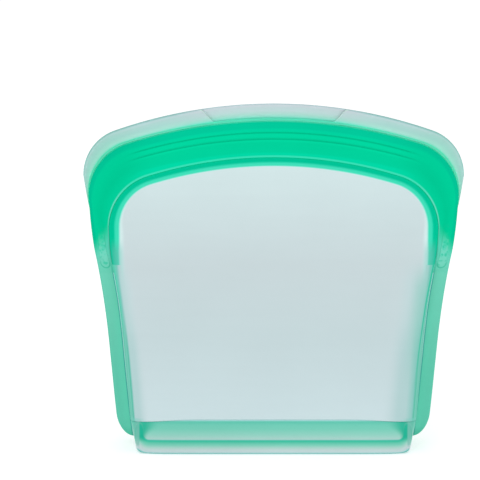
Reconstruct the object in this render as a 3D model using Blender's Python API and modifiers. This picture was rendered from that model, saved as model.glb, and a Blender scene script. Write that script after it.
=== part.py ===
"""A reusable silicone storage bag that stands on its own base, closed.

Metres, +Z up. The front faces -Y, and the origin is the centre of the flat underside.
The bag is a tapered pocket between two clear walls. Flat side fins seal the walls to each other up
to the seam ends. Above those, a front and a rear mouth half swing apart about one line through both
seam ends, and a press-to-close zip in the two green bands holds them shut.
"""

import math

import bmesh
import bpy
import numpy as np
from mathutils import Vector

MM = 0.001

# Driving dimensions
SEAM_END_Z = 103 * MM  # the side seams stop here and the mouth starts
OPENING_ANGLE = math.radians(25)  # how far each mouth half swings
PIECE_GAP = 0.3 * MM  # free space between two pieces that meet
WALL = 0.9 * MM
FIN_THICKNESS = 1.0 * MM  # of one of a fin's two layers
BAND_THICKNESS = 3.0 * MM
LIP_THICKNESS = 1.0 * MM
TRAY_HEIGHT = 17.4 * MM
TRAY_WALL = 1.2 * MM
TRAY_EDGE_RADIUS = 4 * MM
BASE_DEPTH = 18 * MM  # from the middle plane to the front of the base
POCKET_TAPER = 1.5  # 1 is a straight wedge, and more is hollower near the mouth
SECTION_POWER = 6  # squareness of the pocket's horizontal section
FIN_WIDTH = 7.4 * MM
FIN_FOOT_Z = 5.4 * MM
FIN_CORNER_HEIGHT = 11.8 * MM
NOTCH_HALF_WIDTH = (31.6 * MM, 36.5 * MM)  # finger notch of the front lip, at its bottom and top
NOTCH_STRIP = 1.5 * MM  # height of the lip that is left in the notch
SKIN_Y = PIECE_GAP / 2  # inner faces stand this far from the middle plane

# Each arch is a flat top arc, a rounder shoulder arc, and a leg down to its foot.
# "shoulder" is the height where the outline is widest, and "bow" bends the leg.
LIP = dict(top=175.5, radius=237, half_width=94.7, shoulder=139.7, foot=(92.0, 120.0), bow=1.6)
LIP_ROOT = dict(top=166.9, radius=241.7, half_width=92.2, shoulder=129, foot=(91.5, 120.0), bow=1.6)
BAND = dict(top=166.9, radius=241.7, half_width=92.2, shoulder=129, foot=(90.0, 104.8), bow=1.3)
RIM = dict(top=148.9, radius=210, half_width=82.1, shoulder=112.7, foot=(81.7, 104.8), bow=2.0)
WINDOW = dict(top=144.5, radius=206, half_width=76.6, shoulder=114, foot=(76.6, 105.8), bow=1.0)

# Half-width of the pocket at a few heights, from the floor to the widest place of the rim.
RIM_SIDE = [(0, 69.8), (24, 72.5), (44, 74.3), (60, 75.7), (76, 77.5), (89, 79.6), (96, 80.8), (103, 81.6), (112.7, 82.1)]
# The same for the edge of the clear window.
WINDOW_SIDE = [(0, 67.8), (25, 69.8), (46, 71.6), (62, 73.2), (77, 74.8), (90, 76.2), (103, 76.6), (114, 76.6)]

# Press-to-close zip, in section. Offsets run across the band.
TRACK_HALF_WIDTH = 2.6 * MM
TRACK_DEPTH = 1.7 * MM  # back face of a track, from the middle plane
TRACK_FLOOR = 0.5 * MM  # thickness of the female track behind its grooves
RIB_OFFSET = 1.3 * MM
RIB_HALF_WIDTH = 0.4 * MM
GROOVE_HALF_WIDTH = 0.65 * MM
RIB_REACH = 0.9 * MM  # how far the ribs cross the middle plane
TRACK_END_Z = 108 * MM
TRACK_PLACE = 0.6  # 0 is the band's inner edge and 1 its outer edge

# Points along one half of an arch, in its top arc, shoulder arc and leg
TOP_STEPS, SHOULDER_STEPS, LEG_STEPS = 9, 8, 3


def start_clean():
    for thing in list(bpy.data.objects):
        bpy.data.objects.remove(thing)
    bag = bpy.data.collections.new("silicone_bag")
    cutters = bpy.data.collections.new("cutters")
    for collection in (bag, cutters):
        bpy.context.scene.collection.children.link(collection)
    return bag, cutters


def material(name, color, roughness, alpha=1.0):
    made = bpy.data.materials.new(name)
    made.use_nodes = True
    shader = made.node_tree.nodes["Principled BSDF"]
    shader.inputs["Base Color"].default_value = (*color, 1.0)
    shader.inputs["Roughness"].default_value = roughness
    shader.inputs["Metallic"].default_value = 0.0
    shader.inputs["Alpha"].default_value = alpha
    made.diffuse_color = (*color, alpha)
    return made


# Outlines


def smooth_curve(points):
    """A smooth half-width for any height, through (height, half-width) pairs in millimetres."""
    heights, widths = np.array(points, float).T * MM
    slopes = np.gradient(widths, heights)

    def at(z):
        z = min(max(z, heights[0]), heights[-1])
        i = min(int(np.searchsorted(heights, z, side="right")) - 1, len(heights) - 2)
        step = heights[i + 1] - heights[i]
        s = (z - heights[i]) / step
        start, end = widths[i], widths[i + 1]
        return (
            start * (1 + 2 * s) * (1 - s) ** 2
            + end * s * s * (3 - 2 * s)
            + step * slopes[i] * s * (1 - s) ** 2
            - step * slopes[i + 1] * s * s * (1 - s)
        )

    return at


def arch_half(top, radius, half_width, shoulder, foot, bow):
    """(x, z) points of an arch's right half, from its crown to its foot."""
    centre = top - radius
    rise = shoulder - centre
    # The shoulder arc touches the top arc and the upright at half_width.
    corner = (radius**2 - half_width**2 - rise**2) / (2 * (radius - half_width))
    join = math.asin((half_width - corner) / (radius - corner))
    points = []
    for turn in np.linspace(0, join, TOP_STEPS, endpoint=False):
        points.append((radius * math.sin(turn), centre + radius * math.cos(turn)))
    for turn in np.linspace(join, math.pi / 2, SHOULDER_STEPS, endpoint=False):
        points.append((half_width - corner + corner * math.sin(turn), shoulder + corner * math.cos(turn)))
    for share in np.linspace(0, 1, LEG_STEPS + 1):
        x = half_width - (half_width - foot[0]) * share**bow
        points.append((x, shoulder - (shoulder - foot[1]) * share))
    return [(x * MM, z * MM) for x, z in points]


def whole(half):
    """An arch's points from its left foot over the crown to its right foot."""
    return [(-x, z) for x, z in reversed(half)] + half[1:]


def pick(points, share):
    """The place at this share of the points' count."""
    at = share * (len(points) - 1)
    i = min(int(at), len(points) - 2)
    part = at - i
    return tuple(a + (b - a) * part for a, b in zip(points[i], points[i + 1]))


rim_side = smooth_curve(RIM_SIDE)
window_side = smooth_curve(WINDOW_SIDE)
rim_half = arch_half(**RIM)


def rim_half_width(z):
    """Half-width of the pocket at height z, under its arch too."""
    if z <= RIM["shoulder"] * MM:
        return rim_side(z)
    over_shoulder = rim_half[: TOP_STEPS + SHOULDER_STEPS + 1]
    return float(np.interp(-z, [-p[1] for p in over_shoulder], [p[0] for p in over_shoulder]))


# The pocket's front surface. The rear is the same, turned half round.


def flange_depth(z):
    """Outer face of the fin or band that the pocket's wall starts from: thin below, thick above."""
    thick = min(max((z / MM - 90) / 13, 0), 1)
    thick = thick * thick * (3 - 2 * thick)
    return SKIN_Y + FIN_THICKNESS + (BAND_THICKNESS - FIN_THICKNESS) * thick


def middle_depth(z):
    """Depth of the front wall half way across."""
    height = RIM["top"] * MM
    least = SKIN_Y + BAND_THICKNESS
    return least + (BASE_DEPTH - least) * max(1 - z / height, 0) ** POCKET_TAPER


def wall_point(x, z):
    """The front wall's outer face. It rises steeply from the rim and is nearly flat between."""
    share = min(abs(x) / (rim_half_width(z) - PIECE_GAP), 1)
    rounded = (1 - share**SECTION_POWER) ** (1 / SECTION_POWER)
    edge = flange_depth(z)
    return Vector((x, -(edge + (middle_depth(z) - edge) * rounded), z))


# Building blocks


def add_object(name, mesh, collection, finish):
    made = bpy.data.objects.new(name, mesh)
    collection.objects.link(made)
    made.data.materials.append(finish)
    return made


def sheet(name, place, columns, rows, thickness, finish, collection):
    """An open grid laid out by place(u, v), with u to the right and v up, thickened towards the inside."""
    grid = bmesh.new()
    bmesh.ops.create_grid(grid, x_segments=columns, y_segments=rows, size=0.5)
    for vertex in grid.verts:
        vertex.co = place(vertex.co.x + 0.5, vertex.co.y + 0.5)
    bmesh.ops.recalc_face_normals(grid, faces=grid.faces)
    if sum(face.normal.y * face.calc_area() for face in grid.faces) > 0:
        bmesh.ops.reverse_faces(grid, faces=grid.faces)
    mesh = bpy.data.meshes.new(name)
    grid.to_mesh(mesh)
    grid.free()
    made = add_object(name, mesh, collection, finish)
    shell = made.modifiers.new("thickness", "SOLIDIFY")
    shell.thickness = thickness
    shell.offset = -1
    return made


def strip_between(inner, outer, depth):
    """Lays a grid between two arches, at depth(x, z) in front of the middle plane."""

    def place(u, v):
        (x0, z0), (x1, z1) = pick(inner, u), pick(outer, u)
        x, z = x0 + (x1 - x0) * v, z0 + (z1 - z0) * v
        return Vector((x, -depth(x, z), z))

    return place


def turned_copy(front, name):
    """The rear twin of a front piece: the same mesh, half a turn about the upright middle line."""
    twin = front.copy()
    twin.name = name
    front.users_collection[0].objects.link(twin)
    twin.rotation_euler.z = math.pi
    return twin


def mirrored_copy(piece, name):
    """The opposite-hand twin of a piece, as its own mesh with the faces turned back out."""
    mesh = piece.data.copy()
    for vertex in mesh.vertices:
        vertex.co.x = -vertex.co.x
    mesh.flip_normals()
    twin = piece.copy()
    twin.name, twin.data = name, mesh
    piece.users_collection[0].objects.link(twin)
    return twin


# Pieces of the pouch


def tray_ring(z, inset):
    """Points round the pocket at height z, moved in by inset."""
    half_width = rim_half_width(z) - PIECE_GAP
    shape = [math.cos(a) ** (2 / SECTION_POWER) for a in np.linspace(0, math.pi / 2, 9)]
    shares = [-s for s in shape] + shape[-2::-1]
    front = []
    for share in shares:
        outer = wall_point(share * half_width, z)
        front.append(Vector((share * (half_width - inset), outer.y * (1 - inset / BASE_DEPTH), z)))
    return front + [Vector((-p.x, -p.y, p.z)) for p in front]


def make_base_tray(bag, finish):
    """The standing base: a floor with a rounded lower edge and a low wall, open at the top."""
    rings = []
    for turn in np.linspace(0, math.pi / 2, 5):
        rings.append((TRAY_EDGE_RADIUS * (1 - math.cos(turn)), TRAY_EDGE_RADIUS * (1 - math.sin(turn))))
    rings += [(z, 0.0) for z in np.linspace(TRAY_EDGE_RADIUS, TRAY_HEIGHT, 4)[1:]]
    shell = bmesh.new()
    loops = [[shell.verts.new(p) for p in tray_ring(z, inset)] for z, inset in rings]
    count = len(loops[0])
    for low, high in zip(loops, loops[1:]):
        for i in range(count):
            shell.faces.new((low[i], low[(i + 1) % count], high[(i + 1) % count], high[i]))
    shell.faces.new(reversed(loops[0]))
    bmesh.ops.recalc_face_normals(shell, faces=shell.faces)
    mesh = bpy.data.meshes.new("base_tray")
    shell.to_mesh(mesh)
    shell.free()
    tray = add_object("base_tray", mesh, bag, finish)
    thick = tray.modifiers.new("thickness", "SOLIDIFY")
    thick.thickness = TRAY_WALL
    thick.offset = -1
    return tray


def make_lower_panels(bag, finish):
    bottom, top = TRAY_HEIGHT + PIECE_GAP, SEAM_END_Z - PIECE_GAP

    def place(u, v):
        z = bottom + (top - bottom) * v
        across = math.sin((u - 0.5) * math.pi)  # closer columns where the wall turns back
        return wall_point(across * (window_side(z) - PIECE_GAP / 2), z)

    front = sheet("front_lower_panel", place, 16, 9, WALL, finish, bag)
    turned_copy(front, "rear_lower_panel")


def make_side_walls(bag, finish):
    """The narrow green wall that steps forward from a fin to the edge of the clear panel."""
    bottom, top = TRAY_HEIGHT + PIECE_GAP, SEAM_END_Z - PIECE_GAP

    def place(u, v):
        z = bottom + (top - bottom) * v
        outer = rim_half_width(z) - PIECE_GAP
        inner = window_side(z) + PIECE_GAP / 2
        # Even turns of the section's corner put the closest columns at the rim, where it is steepest.
        last_turn = math.acos((inner / outer) ** (SECTION_POWER / 2))
        share = math.cos(last_turn * (1 - u)) ** (2 / SECTION_POWER)
        return wall_point(outer * share, z)

    front_right = sheet("front_right_side_wall", place, 5, 10, WALL, finish, bag)
    front_left = mirrored_copy(front_right, "front_left_side_wall")
    turned_copy(front_right, "rear_left_side_wall")
    turned_copy(front_left, "rear_right_side_wall")


def fin_outer(z):
    """Outer edge of a fin, which rounds in to its foot."""
    drop = max(FIN_FOOT_Z + FIN_CORNER_HEIGHT - z, 0) / FIN_CORNER_HEIGHT
    least = 0.05  # the foot keeps a short blunt end
    return rim_half_width(z) + FIN_WIDTH * max(math.sqrt(max(1 - drop * drop, 0)), least)


def make_fins(bag, finish):
    """One layer of each side seam: a flat strip beside the pocket, with a rounded foot."""

    def place(u, v):
        z = FIN_FOOT_Z + (SEAM_END_Z - PIECE_GAP - FIN_FOOT_Z) * v**1.5
        inner = rim_half_width(z)
        return Vector((inner + (fin_outer(z) - inner) * u, -SKIN_Y - FIN_THICKNESS, z))

    front_right = sheet("front_right_fin", place, 1, 18, FIN_THICKNESS, finish, bag)
    front_left = mirrored_copy(front_right, "front_left_fin")
    turned_copy(front_right, "rear_left_fin")
    turned_copy(front_left, "rear_right_fin")


# Pieces of the mouth halves


def zip_path():
    """The zip's middle line, along both bands, down to its two ends."""
    inner, outer = arch_half(**RIM), arch_half(**BAND)
    half = []
    for (x0, z0), (x1, z1) in zip(inner, outer):
        half.append((x0 + (x1 - x0) * TRACK_PLACE, z0 + (z1 - z0) * TRACK_PLACE))
    return [p for p in whole(half) if p[1] >= TRACK_END_Z]


def swept(name, profile, path, collection):
    """A solid of one section carried along a path in the middle plane, with closed ends.

    The section's points are (offset across the band, y), and its first offset points outwards.
    """
    track = bmesh.new()
    rings = []
    for i, (x, z) in enumerate(path):
        before, after = path[max(i - 1, 0)], path[min(i + 1, len(path) - 1)]
        along = Vector((after[0] - before[0], 0, after[1] - before[1])).normalized()
        out = Vector((-along.z, 0, along.x))
        rings.append([track.verts.new(Vector((x, y, z)) + out * offset) for offset, y in profile])
    count = len(profile)
    for low, high in zip(rings, rings[1:]):
        for i in range(count):
            track.faces.new((low[i], low[(i + 1) % count], high[(i + 1) % count], high[i]))
    track.faces.new(reversed(rings[0]))
    track.faces.new(rings[-1])
    bmesh.ops.recalc_face_normals(track, faces=track.faces)
    mesh = bpy.data.meshes.new(name)
    track.to_mesh(mesh)
    track.free()
    made = bpy.data.objects.new(name, mesh)
    collection.objects.link(made)
    return made


def female_profile():
    """Three rails with two grooves between them, open to the rear."""
    front, back = -TRACK_DEPTH, -SKIN_Y
    groove = front + TRACK_FLOOR
    points = [(TRACK_HALF_WIDTH, front), (TRACK_HALF_WIDTH, back)]
    for middle in (RIB_OFFSET, -RIB_OFFSET):
        near, far = middle + GROOVE_HALF_WIDTH, middle - GROOVE_HALF_WIDTH
        points += [(near, back), (near, groove), (far, groove), (far, back)]
    return points + [(-TRACK_HALF_WIDTH, back), (-TRACK_HALF_WIDTH, front)]


def male_profile():
    """A flat strip with two ribs that reach into the grooves."""
    front, back = SKIN_Y, TRACK_DEPTH
    points = [(TRACK_HALF_WIDTH, back), (TRACK_HALF_WIDTH, front)]
    for middle in (RIB_OFFSET, -RIB_OFFSET):
        near, far = middle + RIB_HALF_WIDTH, middle - RIB_HALF_WIDTH
        points += [(near, front), (near, -RIB_REACH), (far, -RIB_REACH), (far, front)]
    return points + [(-TRACK_HALF_WIDTH, front), (-TRACK_HALF_WIDTH, back)]


def make_zip_tracks(bag, finish):
    for name, profile in (("front_zip_track", female_profile()), ("rear_zip_track", male_profile())):
        track = swept(name, profile, zip_path(), bag)
        track.data.materials.append(finish)


def make_bands(bag, cutters, finish):
    """The thick arched bands, each with a recess on its inner face for its zip track."""
    place = strip_between(whole(rim_half), whole(arch_half(**BAND)), lambda x, z: SKIN_Y + BAND_THICKNESS)
    columns = len(whole(rim_half)) - 1
    front = sheet("front_band", place, columns, 1, BAND_THICKNESS, finish, bag)
    half_width = TRACK_HALF_WIDTH + PIECE_GAP
    depth = TRACK_DEPTH + PIECE_GAP
    section = [(half_width, -depth), (half_width, depth), (-half_width, depth), (-half_width, -depth)]
    path = zip_path()
    # The recess runs one gap past each end of the track.
    path = [(path[0][0], path[0][1] - PIECE_GAP)] + path[1:-1] + [(path[-1][0], path[-1][1] - PIECE_GAP)]
    recess = swept("zip_recess_cutter", section, path, cutters)
    recess.hide_render = True
    recess.display_type = "WIRE"
    cut = front.modifiers.new("zip_recess", "BOOLEAN")
    cut.operation = "DIFFERENCE"
    cut.object = recess
    turned_copy(front, "rear_band")


def inset_arch(arch, by):
    """The same arch with its crown, sides and foot moved in by this many millimetres."""
    moved = dict(arch)
    moved["top"] -= by
    moved["radius"] -= by
    moved["half_width"] -= by
    moved["foot"] = (arch["foot"][0] - by, arch["foot"][1])
    return moved


def make_rims(bag, finish):
    """The thinner green border between a band and its clear panel."""
    gap = PIECE_GAP / MM
    outer = whole(arch_half(**inset_arch(RIM, gap)))
    inner = whole(arch_half(**inset_arch(WINDOW, -gap / 2)))
    place = strip_between(inner, outer, lambda x, z: -wall_point(x, z).y)
    front = sheet("front_rim", place, len(outer) - 1, 3, WALL, finish, bag)
    turned_copy(front, "rear_rim")


def make_upper_panels(bag, finish):
    """The clear panel inside the arch: a patch between its sill, its two sides and its crown."""
    edge = arch_half(**inset_arch(WINDOW, PIECE_GAP / MM / 2))
    sill_z = SEAM_END_Z + PIECE_GAP + middle_depth(SEAM_END_Z) * math.tan(OPENING_ANGLE)
    corner = TOP_STEPS + SHOULDER_STEPS // 2
    crown = whole(edge[: corner + 1])
    side = [p for p in reversed(edge[corner:]) if p[1] > sill_z + 1 * MM]
    side = [(edge[-1][0], sill_z)] + side

    def place(u, v):
        across = 2 * u - 1
        sill = (side[0][0] * across, sill_z)
        over = pick(crown, u)
        left, right = pick(side, v), pick(side, v)
        foot, head = side[0], side[-1]
        x = (1 - v) * sill[0] + v * over[0] + (1 - u) * -left[0] + u * right[0]
        x -= ((1 - v) * foot[0] + v * head[0]) * across
        z = (1 - v) * sill[1] + v * over[1] + left[1] - ((1 - v) * foot[1] + v * head[1])
        return wall_point(x, z)

    front = sheet("front_upper_panel", place, len(crown) - 1, 7, WALL, finish, bag)
    turned_copy(front, "rear_upper_panel")


def lip_outline(notched):
    """The lip's root and outer edge. The front lip is cut low in the middle for a finger."""
    root = arch_half(**inset_arch(LIP_ROOT, -PIECE_GAP / MM))
    outer = arch_half(**LIP)
    if notched:
        low, high = NOTCH_HALF_WIDTH
        for i, ((x0, z0), (x1, z1)) in enumerate(zip(root, outer)):
            share = min(max((x1 - low) / (high - low), 0), 1)
            keep = NOTCH_STRIP / math.hypot(x1 - x0, z1 - z0)
            keep += (1 - keep) * share
            outer[i] = (x0 + (x1 - x0) * keep, z0 + (z1 - z0) * keep)
    return whole(root), whole(outer)


def make_lips(bag, finish):
    """The thin flanges above the bands that fingers pull apart."""
    for name, notched, turned in (("front_lip", True, False), ("rear_lip", False, True)):
        root, outer = lip_outline(notched)
        place = strip_between(root, outer, lambda x, z: SKIN_Y + LIP_THICKNESS)
        lip = sheet(name, place, len(root) - 1, 1, LIP_THICKNESS, finish, bag)
        if turned:
            lip.rotation_euler.z = math.pi


def main():
    bag, cutters = start_clean()
    clear = material("clear_silicone", (0.60, 0.72, 0.74), 0.45, 0.85)
    green = material("green_silicone", (0.002, 0.62, 0.33), 0.4)
    pale = material("thin_green_silicone", (0.14, 0.58, 0.43), 0.4, 0.9)
    tinted = material("tinted_clear_silicone", (0.38, 0.70, 0.61), 0.35, 0.8)
    base = material("base_silicone", (0.19, 0.60, 0.47), 0.35, 0.85)
    make_base_tray(bag, base)
    make_lower_panels(bag, clear)
    make_side_walls(bag, pale)
    make_fins(bag, pale)
    make_bands(bag, cutters, green)
    make_zip_tracks(bag, green)
    make_rims(bag, green)
    make_upper_panels(bag, clear)
    make_lips(bag, tinted)


main()
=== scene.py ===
import math
import bmesh
import bpy
import numpy as np
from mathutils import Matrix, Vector


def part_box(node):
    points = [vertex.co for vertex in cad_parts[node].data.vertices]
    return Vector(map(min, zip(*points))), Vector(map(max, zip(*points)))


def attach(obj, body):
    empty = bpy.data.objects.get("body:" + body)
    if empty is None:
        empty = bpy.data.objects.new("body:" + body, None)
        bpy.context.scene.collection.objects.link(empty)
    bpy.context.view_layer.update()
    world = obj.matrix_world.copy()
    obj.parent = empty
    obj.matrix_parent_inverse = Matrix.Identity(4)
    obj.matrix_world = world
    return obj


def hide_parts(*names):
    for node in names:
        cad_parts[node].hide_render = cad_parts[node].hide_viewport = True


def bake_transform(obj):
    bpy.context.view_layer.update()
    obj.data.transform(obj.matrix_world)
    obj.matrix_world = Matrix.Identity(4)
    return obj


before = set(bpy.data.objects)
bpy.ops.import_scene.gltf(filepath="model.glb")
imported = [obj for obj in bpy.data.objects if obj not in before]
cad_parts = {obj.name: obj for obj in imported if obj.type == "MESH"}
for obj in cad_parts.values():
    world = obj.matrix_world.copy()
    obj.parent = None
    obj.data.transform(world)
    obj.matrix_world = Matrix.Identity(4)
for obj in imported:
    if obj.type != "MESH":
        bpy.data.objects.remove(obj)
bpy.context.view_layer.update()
mm = 0.001
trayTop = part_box("base_tray")[1].z
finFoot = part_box("front_right_fin")[0].z

# Each arch is a wide top arc and a tighter shoulder arc. Below its shoulder the outline is a side
# line, given as (height, half-width) pairs. All in millimetres.
outline = {
    "lip": {"top": 175.5, "radius": 237.0, "halfWidth": 94.7, "shoulder": 139.7},
    "lipRoot": {"top": 166.9, "radius": 241.7, "halfWidth": 92.2, "shoulder": 129.0},
    "band": {"top": 166.9, "radius": 241.7, "halfWidth": 92.2, "shoulder": 129.0},
    "rim": {"top": 148.9, "radius": 210.0, "halfWidth": 82.1, "shoulder": 112.7},
    "window": {"top": 144.5, "radius": 206.0, "halfWidth": 76.6, "shoulder": 114.0},
    "lipSide": [(123.0, 91.9), (130.0, 93.2), (139.7, 94.7)],
    "rimSide": [(0, 69.8), (24, 72.5), (44, 74.3), (60, 75.7), (76, 77.5), (89, 79.6), (96, 80.8),
                (103, 81.6), (112.7, 82.1)],
    "windowSide": [(0, 67.8), (25, 69.8), (46, 71.6), (62, 73.2), (77, 74.8), (90, 76.2), (103, 76.6),
                   (114, 76.6)],
    "outerSide": [(0, 77.3), (16, 79.1), (24, 79.9), (44, 81.7), (65, 83.7), (86, 86.6), (94, 88.0),
                  (103, 89.6), (113, 90.9), (129, 92.2)],
    "footHeight": 11.8,  # of the rounded lower corner of a fin
    "squareness": (10.0, 6.0),  # power of the pocket's section, at the base and at the mouth
    "baseDepth": 18.0,
    "taper": 1.5,  # above 1 the pocket is hollower near the mouth
    "finThickness": 1.0,
    "bandThickness": 3.0,
    "innerFace": 0.15,  # inner faces stand this far from the middle plane
    "endDip": 1.3,  # the base's top edge falls this much towards both ends
}


# Half an arch from its crown: equal turns of the top arc, then of the shoulder arc that
# touches it and the upright at the half-width.
def archHalf(arch, topCount, shoulderCount):
    keys = ("top", "radius", "halfWidth", "shoulder")
    top, radius, halfWidth, shoulder = (arch[key] * mm for key in keys)
    centre = top - radius
    above = shoulder - centre
    corner = (radius**2 - halfWidth**2 - above**2) / (2 * (radius - halfWidth))
    join = math.asin((halfWidth - corner) / (radius - corner))
    first = np.linspace(0, join, topCount, endpoint=False)
    second = np.linspace(join, math.pi / 2, shoulderCount)
    x = np.concatenate([radius * np.sin(first), halfWidth - corner + corner * np.sin(second)])
    z = np.concatenate([centre + radius * np.cos(first), shoulder + corner * np.cos(second)])
    return np.stack([x, z], 1)


# A curve through (height, half-width) pairs: a cubic between neighbours with the mean slope at each.
def smoothLine(at, pairs):
    heights, widths = np.array(pairs, float).T * mm
    slopes = np.gradient(widths, heights)
    at = np.clip(at, heights[0], heights[-1])
    i = np.clip(np.searchsorted(heights, at, side="right") - 1, 0, len(heights) - 2)
    step = heights[i + 1] - heights[i]
    s = (at - heights[i]) / step
    ends = widths[i] * (1 + 2 * s) * (1 - s) ** 2 + widths[i + 1] * s * s * (3 - 2 * s)
    return ends + step * slopes[i] * s * (1 - s) ** 2 - step * slopes[i + 1] * s * s * (1 - s)


# A smooth 0 to 1 rise of arrays between two values.
def smoothStep(low, high, value):
    t = np.clip((value - low) / (high - low), 0, 1)
    return t * t * (3 - 2 * t)


def fallStep(low, high, value):
    return 1 - smoothStep(low, high, value)


# Half-width at a height: the side line below the shoulder, the arch above it.
def halfWidthAt(z, archName, sideName):
    arch = archHalf(outline[archName], 200, 200)
    over = np.interp(-z, -arch[:, 1], arch[:, 0])
    return np.where(z <= outline[archName]["shoulder"] * mm, smoothLine(z, outline[sideName]), over)


# Outer face of the flange: thin below the seam ends, thick above.
def flangeDepth(z):
    thick = smoothStep(90 * mm, 103 * mm, z)
    low, high = outline["finThickness"], outline["bandThickness"]
    return (outline["innerFace"] + low + (high - low) * thick) * mm


# Depth of the front wall: a superellipse across, between the flange's face and the middle's
# depth, which falls with the height to a power. The section is squarer near the base.
def wallDepth(x, z):
    least = (outline["innerFace"] + outline["bandThickness"]) * mm
    height = outline["rim"]["top"] * mm
    hollow = np.clip(1 - z / height, 0, 1) ** outline["taper"]
    middle = least + (outline["baseDepth"] * mm - least) * hollow
    share = np.clip(np.abs(x) / halfWidthAt(z, "rim", "rimSide"), 0, 1)
    square, soft = outline["squareness"]
    power = square + (soft - square) * smoothStep(15 * mm, 60 * mm, z)
    rounded = (1 - share**power) ** (1 / power)
    edge = flangeDepth(z)
    return edge + (middle - edge) * rounded


# How far the joint between the walls and the base falls towards the ends, at full width.
def endDip(x):
    share = np.abs(x) / (outline["rimSide"][0][1] * mm)
    return outline["endDip"] * mm * smoothStep(0.55, 1.0, share)


# Quads of a grid of rows by columns, numbered row by row. A closed grid joins its last column to
# its first.
def gridFaces(rows, columns, closedColumns=False):
    index = np.arange(rows * columns).reshape(rows, columns)
    right = np.roll(index, -1, axis=1)
    if not closedColumns:
        index, right = index[:, :-1], right[:, :-1]
    return np.stack([index[:-1], right[:-1], right[1:], index[1:]], -1).reshape(-1, 4)


def newObject(name, data):
    made = bpy.data.objects.new(name, data)
    bpy.context.scene.collection.objects.link(made)
    return made


# A mesh object from points and quads, with its marks as point attributes and its normals made to
# agree.
def makePiece(name, points, faces, marks, material, weld=False, caps=()):
    mesh = bpy.data.meshes.new(name)
    mesh.from_pydata(points.tolist(), [], faces.tolist() + [list(cap) for cap in caps])
    for markName, values in marks.items():
        layer = mesh.attributes.new(markName, "FLOAT", "POINT")
        layer.data.foreach_set("value", np.asarray(values, np.float32).ravel())
    work = bmesh.new()
    work.from_mesh(mesh)
    if weld:
        bmesh.ops.remove_doubles(work, verts=work.verts, dist=1e-6)
    bmesh.ops.recalc_face_normals(work, faces=work.faces)
    work.to_mesh(mesh)
    work.free()
    mesh.shade_smooth()
    mesh.materials.append(material)
    return newObject(name, mesh)


# A closed section carried along a path, one row of points a station. The last row is filled, and
# so is the first one unless the start stays open.
def sweptPiece(name, points, marks, material, openStart=False):
    rows, columns = points.shape[:2]
    caps = [range((rows - 1) * columns, rows * columns)]
    if not openStart:
        caps.insert(0, range(columns)[::-1])
    faces = gridFaces(rows, columns, closedColumns=True)
    return makePiece(name, points.reshape(-1, 3), faces, marks, material, caps=caps)


# Turns the faces so that a sheet's mean normal points along a direction.
def faceAlong(piece, direction):
    mesh = piece.data
    total = sum((p.normal * p.area for p in mesh.polygons), Vector())
    if total.dot(Vector(direction)) < 0:
        mesh.flip_normals()


# Each face's height, and the mean of a point mark over its four corners.
def faceHeights(piece):
    centres = np.empty(len(piece.data.polygons) * 3, np.float32)
    piece.data.polygons.foreach_get("center", centres)
    return centres.reshape(-1, 3)[:, 2]


def faceMark(piece, markName):
    mesh = piece.data
    values = np.empty(len(mesh.vertices), np.float32)
    mesh.attributes[markName].data.foreach_get("value", values)
    corners = np.empty(len(mesh.loops), np.int32)
    mesh.loops.foreach_get("vertex_index", corners)
    return values[corners.reshape(-1, 4)].mean(1)


# Puts the picked faces on a second material.
def secondMaterial(piece, material, picked):
    piece.data.materials.append(material)
    piece.data.polygons.foreach_set("material_index", picked.astype(np.int32))


# The rear twin: the same shape, half a turn about the upright middle line.
def halfTurn(points):
    return points * np.array([-1.0, -1.0, 1.0])


# A right half and its mirror image as one path, from the left foot over the crown to the right one.
def wholePath(half):
    return np.concatenate([half[::-1] * [-1.0, 1.0], half[1:]])


def addThickness(piece, thickness):
    shell = piece.modifiers.new("wall", "SOLIDIFY")
    shell.thickness = thickness
    shell.offset = -1


# A colour in display levels, made linear.
def srgb(r, g, b):
    levels = np.array([r, g, b], float) / 255
    linear = np.where(levels <= 0.04045, levels / 12.92, ((levels + 0.055) / 1.055) ** 2.4)
    return (*[float(v) for v in linear], 1.0)


# Sets a socket's value, or links another socket to it.
def feed(tree, socket, value):
    if isinstance(value, bpy.types.NodeSocket):
        tree.links.new(value, socket)
    else:
        socket.default_value = value


def setInputs(node, values):
    for key, value in values.items():
        node.inputs[key].default_value = value


def addNode(tree, kind, inputs=None, **settings):
    made = tree.nodes.new(kind)
    for key, value in settings.items():
        setattr(made, key, value)
    for key, value in (inputs or {}).items():
        feed(tree, made.inputs[key], value)
    return made


def calc(tree, operation, a, b=0.0):
    return addNode(tree, "ShaderNodeMath", {0: a, 1: b}, operation=operation).outputs[0]


def plus(tree, a, b):
    return calc(tree, "ADD", a, b)


def minus(tree, a, b):
    return calc(tree, "SUBTRACT", a, b)


def unsigned(tree, value):
    return calc(tree, "ABSOLUTE", value)


def times(tree, *values):
    total = values[0]
    for value in values[1:]:
        total = calc(tree, "MULTIPLY", total, value)
    return total


# A smooth 0 to 1 rise between two values, and its opposite.
def rise(tree, value, low, high):
    inputs = {0: value, 1: low, 2: high}
    return addNode(tree, "ShaderNodeMapRange", inputs, interpolation_type="SMOOTHSTEP").outputs[0]


def fall(tree, value, low, high):
    return minus(tree, 1.0, rise(tree, value, low, high))


def mix(tree, share, a, b, blend="MIX"):
    inputs = {0: share, 6: a, 7: b}
    return addNode(tree, "ShaderNodeMix", inputs, data_type="RGBA", blend_type=blend).outputs[2]


# A tone in display levels laid over a colour.
def paint(tree, colour, tone, share):
    return mix(tree, share, colour, srgb(*tone))


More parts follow.
